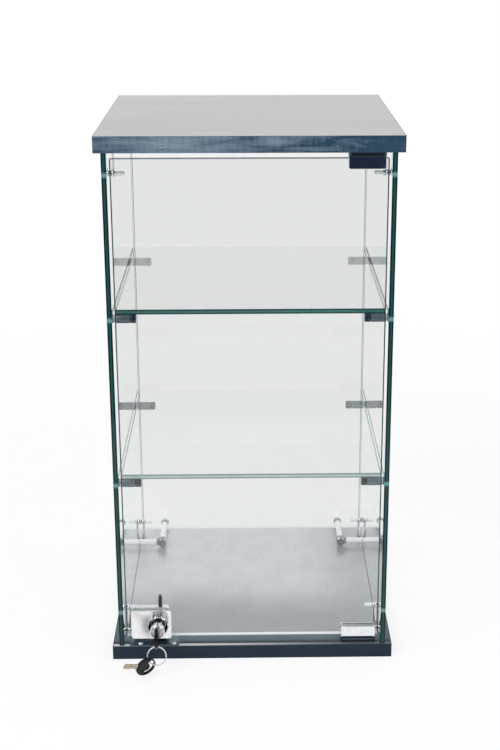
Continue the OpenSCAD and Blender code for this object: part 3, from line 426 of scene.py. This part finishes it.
def pane_glass(name, axis, middle, tint, core, rim, core_half=0.0013, lower_end=None, upper_end=None,
               glow=0.0, glints=(), clear_from=None):
    """Glass of a pane across X, Y or Z, which is axis 0, 1 or 2. middle is where its middle plane lies."""
    material, tree, out, place = new_finish(name)
    geometry = add(tree, "NewGeometry").outputs
    normal = add(tree, "VectorTransform", {0: geometry["True Normal"]}, vector_type="NORMAL",
                 convert_from="WORLD", convert_to="OBJECT").outputs[0]
    across = calc(tree, "ABSOLUTE", add(tree, "SeparateXYZ", {0: normal}).outputs[axis])
    edge = spread(tree, across, *face_limit)
    at = add(tree, "SeparateXYZ", {0: place}).outputs
    if clear_from:
        edge = calc(tree, "MULTIPLY", edge, spread(tree, at["Y"], clear_from, clear_from - 0.001))
    depth = calc(tree, "ABSOLUTE", at[axis]) if axis == 0 else at[axis]
    off = calc(tree, "ABSOLUTE", calc(tree, "SUBTRACT", depth, middle))
    drift = add(tree, "TexNoise", {"Vector": place, "Scale": 30.0, "Detail": 3.0})
    off = calc(tree, "MULTIPLY_ADD", drift.outputs["Fac"], core_blur, off)
    green = blend(tree, spread(tree, off, core_half, core_half + core_blur), core, rim)
    for height in glints:
        near = calc(tree, "ABSOLUTE", calc(tree, "SUBTRACT", at["Z"], height))
        lit = spread(tree, near, *glint_reach, 0.0, 0.6, smooth=True)
        green = blend(tree, lit, green, glint_colour)
    # Painted highlight on a pale upper end.
    if upper_end:
        height, colour = upper_end
        above = spread(tree, at["Z"], height - end_band[1], height - end_band[0])
        green = blend(tree, above, green, colour)
    ground = {"Base Color": green, "Roughness": 0.12, "IOR": 1.3}
    # Painted highlight and painted glow at a pale lower end.
    if lower_end:
        height, colour = lower_end
        under = spread(tree, at["Z"], height + end_band[1], height + end_band[0])
        ground["Base Color"] = blend(tree, under, green, colour)
        ground["Emission Color"] = (*colour, 1)
        ground["Emission Strength"] = calc(tree, "MULTIPLY", under, glow)
    ground = add(tree, "BsdfPrincipled", ground)
    clear = add(tree, "BsdfTransparent", {"Color": (*tint, 1)})
    shine = add(tree, "BsdfGlossy", {"Color": (1, 1, 1, 1), "Roughness": 0.0})
    slanting = add(tree, "Fresnel", {"IOR": 1.45}).outputs[0]
    strength = calc(tree, "MULTIPLY", slanting, mirror_gain, use_clamp=True)
    lamp_ray = add(tree, "LightPath").outputs["Is Shadow Ray"]
    passed = calc(tree, "MAXIMUM", geometry["Backfacing"], lamp_ray)
    mirrored = calc(tree, "MULTIPLY", strength, calc(tree, "SUBTRACT", 1.0, passed))
    face = add(tree, "MixShader", {0: mirrored, 1: clear.outputs[0], 2: shine.outputs[0]})
    whole = add(tree, "MixShader", {0: edge, 1: face.outputs[0], 2: ground.outputs[0]})
    tree.links.new(whole.outputs[0], out.inputs["Surface"])
    return material


# Each fixing lights up the pane's edge a little above its own height.
support_r = 0.0055
pin_rise, pin_drop = 0.033, 0.030
pin_zs = (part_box("base_board")[1].z + pin_rise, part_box("top_board")[0].z - pin_drop)
lower_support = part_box("shelf_lower")[0].z - support_r
upper_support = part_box("shelf_upper")[0].z - support_r
fixing_glints = (pin_zs[0] + 0.013, lower_support + 0.007, upper_support + 0.005, pin_zs[1] + 0.005)

pane_tint = (0.962, 0.966, 0.963)
side_pane = pane_glass("side_glass", 0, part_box("side_glass_right")[0].x + glass_half, pane_tint,
                       (0.012, 0.070, 0.068), (0.0015, 0.009, 0.011), glints=fixing_glints)
low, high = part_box("back_glass")
# The back pane's pale edges are painted light on the same glass as the door.
back_pane = pane_glass("back_pane", 1, low.y + glass_half, pane_tint,
                       (0.42, 0.48, 0.46), (0.34, 0.39, 0.38), glow=0.8,
                       lower_end=(low.z, (0.66, 0.68, 0.69)), upper_end=(high.z, (0.60, 0.63, 0.64)))
low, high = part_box("door_glass")
door_pane = pane_glass("door_pane", 1, low.y + glass_half, pane_tint,
                       (0.030, 0.130, 0.125), (0.012, 0.070, 0.068), glow=0.22,
                       lower_end=(low.z, (0.66, 0.69, 0.70)), upper_end=(high.z, (0.56, 0.58, 0.58)))
dress(side_pane, "side_glass_left", "side_glass_right")
dress(back_pane, "back_glass")
dress(door_pane, "door_glass")


# ---- Shelves ----------------------------------------------------------------
# Two loose glass shelves, 6 mm, of the same glass. The upper one's front edge
# shows deep green, and the lower one's is painted pale, as painted light. Their rear edges look clear.
upper_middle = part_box("shelf_upper")[0].z + glass_half
lower_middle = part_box("shelf_lower")[0].z + glass_half
rear_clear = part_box("shelf_lower")[1].y - 0.002
upper_glass = pane_glass("upper_shelf_glass", 2, upper_middle, (0.952, 0.955, 0.949),
                         (0.078, 0.210, 0.190), (0.026, 0.085, 0.078), core_half=0.0010,
                         clear_from=rear_clear)
# Painted light: the lower shelf's pale edge.
lower_glass = pane_glass("lower_shelf_glass", 2, lower_middle, (0.980, 0.984, 0.980),
                         (0.52, 0.62, 0.61), (0.22, 0.32, 0.32), core_half=0.0011,
                         clear_from=rear_clear)
dress(upper_glass, "shelf_upper")
dress(lower_glass, "shelf_lower")


# ---- Posts, tubes and screws ------------------------------------------------
# Plated steel rods, tubes, studs and screws that hold the boards to the glass,
# and the lock's flat bolt. Handling leaves the plate hazy in places.
def plated(name, colour, shade, roughness, metal=1.0):
    """A plated finish that is hazier where it has been handled."""
    material, tree, out, place = new_finish(name)
    smudge = add(tree, "TexNoise", {"Vector": place, "Scale": 160.0, "Detail": 4.0})
    tone = spread(tree, smudge.outputs["Fac"], 0.35, 0.7)
    rough = spread(tree, smudge.outputs["Fac"], 0.35, 0.7, roughness, roughness + 0.08)
    bump = add(tree, "Bump", {"Height": smudge.outputs["Fac"], "Strength": 0.03, "Distance": 0.0002})
    shader = add(tree, "BsdfPrincipled", {
        "Base Color": blend(tree, tone, colour, shade), "Metallic": metal, "Roughness": rough,
        "Normal": bump.outputs[0],
    })
    tree.links.new(shader.outputs[0], out.inputs["Surface"])
    return material


chrome = plated("chrome", (0.86, 0.88, 0.90), (0.78, 0.80, 0.83), 0.05)
nickel = plated("nickel", (0.60, 0.60, 0.60), (0.50, 0.50, 0.51), 0.22)
# Painted reflection: a near-white, mostly matt finish stands in for the chrome's bright reflections.
white_sheen = plated("nickel_white_sheen", (1.0, 1.0, 1.0), (0.96, 0.96, 0.96), 0.20, metal=0.12)
smoked = plated("smoked_nickel", (0.16, 0.22, 0.25), (0.09, 0.13, 0.16), 0.18)
dress(chrome, "corner_posts", "brace_elbow_screws", "strike_screws")
dress(white_sheen, "brace_side_tubes", "brace_back_tubes")
dress(smoked, "lock_bolt")
dress(nickel, "support_studs", "post_pins", "post_hanger_screws", "brace_studs",
      "hinge_plate_screws", "hinge_pins", "clamp_screws", "lock_clamp_screws", "lock_plug")


# ---- Turned fittings --------------------------------------------------------
# Shelf supports with their end caps, cap nuts and outer caps, turned from bar.
# Each profile is spun round its axis and set on its studs.
satin = plated("satin_steel", (0.165, 0.205, 0.240), (0.130, 0.165, 0.195), 0.34, metal=0.5)
dark_cap = plated("dark_nickel", (0.060, 0.085, 0.110), (0.040, 0.060, 0.080), 0.16, metal=0.8)
turning = make_tree("turned_fitting", ("Places", "Geometry"), ("Profile", "Object"),
                    ("Rounding", "Float"), ("Sides", "Int"), ("Finish", "Material"))
tree, given, _ = turning
lathe_r = 0.01
outline = tree.nodes.new("GeometryNodeObjectInfo")
tree.links.new(given["Profile"], outline.inputs["Object"])
outline = step(tree, "FilletCurve", {"Curve": outline.outputs["Geometry"], "Count": 3,
                                     "Radius": given["Rounding"], "Limit Radius": True}, mode="POLY")
outline = step(tree, "Transform", {"Geometry": outline, "Translation": (-lathe_r, 0, 0)})
lathe = step(tree, "CurvePrimitiveCircle", {"Resolution": given["Sides"], "Radius": lathe_r})
turned = step(tree, "CurveToMesh", {"Curve": lathe, "Profile Curve": outline})
turned = step(tree, "Transform", {"Geometry": turned, "Rotation": (math.pi, 0, 0)})
turned = step(tree, "MergeByDistance", {"Geometry": turned, "Distance": 1e-6})
turn = step(tree, "InputNamedAttribute", {"Name": "turn"}, data_type="FLOAT_VECTOR")
placed = step(tree, "InstanceOnPoints", {"Points": given["Places"], "Instance": turned, "Rotation": turn})
end_tree(tree, placed, given["Finish"])


def turned_pieces(name, node, outline, spots, finish, rounding=0.0004, sides=40):
    """outline is (radius, height) points from the axis round to the axis; spots are (place, direction)."""
    curve = bpy.data.curves.new(name + "_outline", "CURVE")
    curve.dimensions = "3D"
    line = curve.splines.new("POLY")
    line.points.add(len(outline) - 1)
    for point, (radius, height) in zip(line.points, outline):
        point.co = (radius, height, 0, 1)
    profile = bpy.data.objects.new(name + "_outline", curve)
    scene.collection.objects.link(profile)
    start = bpy.data.meshes.new(name + "_places")
    start.from_pydata([place for place, _ in spots], [], [])
    turns = start.attributes.new("turn", "FLOAT_VECTOR", "POINT")
    for item, (_, direction) in zip(turns.data, spots):
        item.vector = Vector(direction).to_track_quat("Z", "Y").to_euler()
    sizes = {"Profile": profile, "Rounding": rounding, "Sides": sides, "Finish": finish}
    piece = make_piece(name, turning, sizes, start)
    bpy.data.objects.remove(profile)
    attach(piece, "case")
    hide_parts(node)


side_inner, side_outer = (corner.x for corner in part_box("side_glass_right"))
washer_t, elbow_r = 0.0005, 0.006
post_ys = (-0.137, 0.128)
barrel_low, barrel_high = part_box("support_barrels")
elbow_low, elbow_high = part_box("brace_elbows")
support_spots = [(y, z) for y in (barrel_low.y + support_r, barrel_high.y - support_r)
                 for z in (barrel_low.z + support_r, barrel_high.z - support_r)]
pin_spots = [(y, z) for y in post_ys for z in pin_zs]
brace_zs = (elbow_low.z + elbow_r, elbow_high.z - elbow_r)
brace_spots = [((elbow_low.y + elbow_high.y) / 2, z) for z in brace_zs]


def on_both_sides(spots, x, outwards):
    """Places at x on the right and on the left, facing outwards (1) or inwards (-1)."""
    return [((side * x, y, z), (side * outwards, 0, 0)) for side in (-1, 1) for y, z in spots]


barrel_len, neck_r, neck_len = 0.018, support_r - 0.0005, 0.0015
turned_pieces("shelf_support_barrels", "support_barrels",
              [(0, 0), (neck_r, 0), (neck_r, neck_len), (support_r, neck_len),
               (support_r, barrel_len), (0, barrel_len)],
              on_both_sides(support_spots, side_inner - washer_t, -1), satin)
end_len, groove, end_bevel = 0.0075, 0.0008, 0.001
turned_pieces("shelf_support_caps", "support_end_caps",
              [(0, 0), (support_r - groove, 0), (support_r - groove, groove), (support_r, groove),
               (support_r, end_len - end_bevel), (support_r - end_bevel, end_len), (0, end_len)],
              on_both_sides(support_spots, side_inner - washer_t - barrel_len, -1), dark_cap)
nut_len, nut_r, crown, tip = 0.009, 0.0026, 0.0014, 0.0004
turned_pieces("pin_cap_nuts", "post_cap_nuts",
              [(0, 0), (nut_r, 0), (nut_r, nut_len - crown), (nut_r - crown / 2, nut_len - tip),
               (nut_r - crown, nut_len), (0, nut_len)],
              on_both_sides(pin_spots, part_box("post_cap_nuts")[1].x, -1), white_sheen)
cap_r, cap_h, rim_r, sunk = 0.006, 0.003, 0.0031, 0.0006
back_tube_x, back_face = elbow_high.x - elbow_r - 0.002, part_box("outer_caps")[1].y - cap_h
back_caps = [((side * back_tube_x, back_face, z), (0, 1, 0)) for side in (-1, 1) for z in brace_zs]
turned_pieces("glass_stud_caps", "outer_caps",
              [(0, 0), (cap_r, 0), (cap_r, cap_h), (rim_r, cap_h),
               (rim_r - sunk, cap_h - sunk), (0, cap_h - sunk)],
              on_both_sides(support_spots + pin_spots + brace_spots, side_outer + washer_t, 1) + back_caps,
              white_sheen)


# ---- Cast and pressed fittings ----------------------------------------------
# The brace elbows, hinge clamps and lock housing are cast, and the hinge plates
# and the strike plate are pressed. All have edges eased by polishing.
cast_grey = plated("cast_nickel", (0.46, 0.51, 0.51), (0.28, 0.32, 0.33), 0.22)
hazy = plated("hazy_chrome", (0.95, 0.96, 0.97), (0.90, 0.91, 0.92), 0.17, metal=0.8)


def ease_edges(node, body, width, finish, flat_within=0.6, sharp_from=35):
    """Replaces a CAD node by a copy with eased edges, which catch the light. Angles are in degrees."""
    shell = bmesh.new()
    shell.from_mesh(nodes[node].data)
    bmesh.ops.remove_doubles(shell, verts=shell.verts, dist=2e-6)
    bmesh.ops.dissolve_limit(shell, angle_limit=math.radians(flat_within),
                             verts=shell.verts, edges=shell.edges)
    mesh = bpy.data.meshes.new(node + "_eased")
    shell.to_mesh(mesh)
    shell.free()
    mesh.materials.clear()
    mesh.materials.append(finish)
    mesh.shade_smooth()
    piece = bpy.data.objects.new(node + "_eased", mesh)
    scene.collection.objects.link(piece)
    bevel = piece.modifiers.new("ease", "BEVEL")
    bevel.width, bevel.segments, bevel.limit_method = width, 2, "ANGLE"
    bevel.angle_limit, bevel.use_clamp_overlap = math.radians(sharp_from), False
    piece.modifiers.new("level", "WEIGHTED_NORMAL")
    depsgraph = bpy.context.evaluated_depsgraph_get()
    eased = bpy.data.meshes.new_from_object(piece.evaluated_get(depsgraph), depsgraph=depsgraph)
    piece.modifiers.clear()
    piece.data = eased
    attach(piece, body)
    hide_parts(node)


ease_edges("brace_elbows", "case", 0.0003, cast_grey)
ease_edges("hinge_plates", "case", 0.0003, dark_cap)
ease_edges("strike_plate", "case", 0.0002, smoked)
ease_edges("hinge_clamps", "door", 0.0006, chrome)
ease_edges("lock_housing", "door", 0.0004, hazy)


# ---- Lock barrel ------------------------------------------------------------
# Turned barrel with a wide dished collar. The dish is painted near black, as
# painted shade, and it and the collar's side carry painted reflections as
# streaks of light and dark; the rest is polished.
dish_inner, dish_outer, side_from = (0.00905, 0.00925), (0.0121, 0.0118), (0.0122, 0.0124)
material, tree, out, place = new_finish("turned_chrome")
low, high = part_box("lock_barrel")
axis_place = ((low.x + high.x) / 2, 0, (low.z + high.z) / 2)
off = add(tree, "VectorMath", {0: place, 1: axis_place}, operation="SUBTRACT").outputs[0]
off = add(tree, "SeparateXYZ", {0: off}).outputs
off = add(tree, "CombineXYZ", {"X": off["X"], "Z": off["Z"]}).outputs[0]
radius = add(tree, "VectorMath", {0: off}, operation="LENGTH").outputs["Value"]
round_way = add(tree, "VectorMath", {0: off}, operation="NORMALIZE").outputs[0]
marks = add(tree, "TexNoise", {"Vector": round_way, "Scale": 3.2, "Detail": 4.0, "Roughness": 0.6})
marks = marks.outputs["Fac"]
smudge = add(tree, "TexNoise", {"Vector": place, "Scale": 160.0, "Detail": 4.0}).outputs["Fac"]
in_dish = calc(tree, "MULTIPLY", spread(tree, radius, *dish_inner), spread(tree, radius, *dish_outer))
# Painted shade and reflection: a near-black dish with light streaks, and dark and light streaks on the
# collar's side.
painted_dish = blend(tree, spread(tree, marks, 0.50, 0.62), (0.030, 0.032, 0.034), (0.62, 0.56, 0.46))
polished = blend(tree, spread(tree, smudge, 0.35, 0.7), (0.90, 0.92, 0.95), (0.66, 0.69, 0.74))
painted_streaks = blend(tree, spread(tree, marks, 0.47, 0.53), (0.17, 0.22, 0.30), (0.96, 0.95, 0.92))
polished = blend(tree, spread(tree, radius, *side_from), polished, painted_streaks)
shader = add(tree, "BsdfPrincipled", {
    "Base Color": blend(tree, in_dish, polished, painted_dish), "Metallic": 1.0,
    "Roughness": spread(tree, in_dish, 0.0, 1.0, 0.03, 0.20),
})
tree.links.new(shader.outputs[0], out.inputs["Surface"])
ease_edges("lock_barrel", "door", 0.0003, material)


# ---- Key ring ---------------------------------------------------------------
# Split ring of flat spring wire: one turn lies on the other, and the wire steps
# across from the first to the second over a short stretch.
crossing = (0.475, 0.525)
wire_rounding, wire_share = 0.0002, 0.94
coil = make_tree("split_ring", ("Radius", "Float"), ("Wire", "Float"), ("Step", "Float"),
                 ("Tilt", "Float"), ("Centre", "Vector"), ("Finish", "Material"))
tree, given, _ = coil
turns = step(tree, "CurveSpiral", {"Resolution": 72, "Rotations": 2.0, "Start Radius": given["Radius"],
                                   "End Radius": given["Radius"], "Height": 0.0})
along = tree.nodes.new("GeometryNodeSplineParameter").outputs["Factor"]
half_step = step(tree, "ShaderNodeMath", {0: given["Step"], 1: 0.5}, operation="MULTIPLY")
under = step(tree, "ShaderNodeMath", {0: half_step, 1: -1.0}, operation="MULTIPLY")
rise = step(tree, "ShaderNodeMapRange", {
    "Value": along, "From Min": crossing[0], "From Max": crossing[1], "To Min": under, "To Max": half_step,
}, interpolation_type="SMOOTHSTEP")
raised = step(tree, "ShaderNodeCombineXYZ", {"Z": rise})
turns = step(tree, "SetPosition", {"Geometry": turns, "Offset": raised})
flat_wire = step(tree, "ShaderNodeMath", {0: given["Step"], 1: wire_share}, operation="MULTIPLY")
section = step(tree, "CurvePrimitiveQuadrilateral", {"Width": given["Wire"], "Height": flat_wire})
section = step(tree, "FilletCurve", {"Curve": section, "Count": 3, "Radius": wire_rounding}, mode="POLY")
ring = step(tree, "CurveToMesh", {"Curve": turns, "Profile Curve": section, "Fill Caps": True})
lean = step(tree, "ShaderNodeCombineXYZ", {"X": given["Tilt"]})
ring = step(tree, "Transform", {"Geometry": ring, "Rotation": lean, "Translation": given["Centre"]})
end_tree(tree, ring, given["Finish"])
ring_finish = plated("ring_nickel", (0.96, 0.93, 0.89), (0.74, 0.70, 0.65), 0.16, metal=0.5)
low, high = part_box("key_ring")
ring_wire, ring_tilt = 0.0014, 13
piece = make_piece("split_key_ring", coil, {
    "Radius": (high.x - low.x - ring_wire) / 2, "Wire": ring_wire, "Step": ring_wire / 2,
    "Tilt": math.radians(90 - ring_tilt), "Centre": (low + high) / 2, "Finish": ring_finish,
})
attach(piece, "ring")
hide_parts("key_ring")


# ---- Washers and gaskets ----------------------------------------------------
# Soft clear plastic between metal and glass, so that nothing hard bears on the
# panes, and nylon washers on the hinge pins.
def moulded(name, colour, shade, roughness, scale=300.0, index=1.5):
    """A plastic finish with a fine grain."""
    material, tree, out, place = new_finish(name)
    fine = add(tree, "TexNoise", {"Vector": place, "Scale": scale, "Detail": 3.0})
    tone = spread(tree, fine.outputs["Fac"], 0.35, 0.7)
    rough = spread(tree, fine.outputs["Fac"], 0.35, 0.7, roughness, roughness + 0.12)
    bump = add(tree, "Bump", {"Height": fine.outputs["Fac"], "Strength": 0.1, "Distance": 0.0001})
    shader = add(tree, "BsdfPrincipled", {
        "Base Color": blend(tree, tone, colour, shade), "Roughness": rough, "Normal": bump.outputs[0],
        "IOR": index,
    })
    tree.links.new(shader.outputs[0], out.inputs["Surface"])
    return material


soft_clear = moulded("soft_washer", (0.62, 0.66, 0.66), (0.55, 0.59, 0.59), 0.3)
nylon = moulded("nylon", (0.72, 0.70, 0.66), (0.66, 0.64, 0.60), 0.4)
dress(soft_clear, "support_washers", "post_washers", "brace_washers", "clamp_gaskets", "lock_gasket")
dress(nylon, "hinge_washers")


# ---- Keys -------------------------------------------------------------------
# Two keys with black plastic bows moulded over milled blades. One is in the
# plug, and the spare hangs beside it on the ring.
key_metal = plated("key_metal", (0.66, 0.57, 0.47), (0.38, 0.31, 0.24), 0.22)
bow_black = moulded("key_bow_black", (0.004, 0.005, 0.007), (0.007, 0.008, 0.010), 0.10, 500.0, index=1.3)
dress(key_metal, "key_blade", "spare_key_blade")
dress(bow_black, "key_bow", "spare_key_bow")
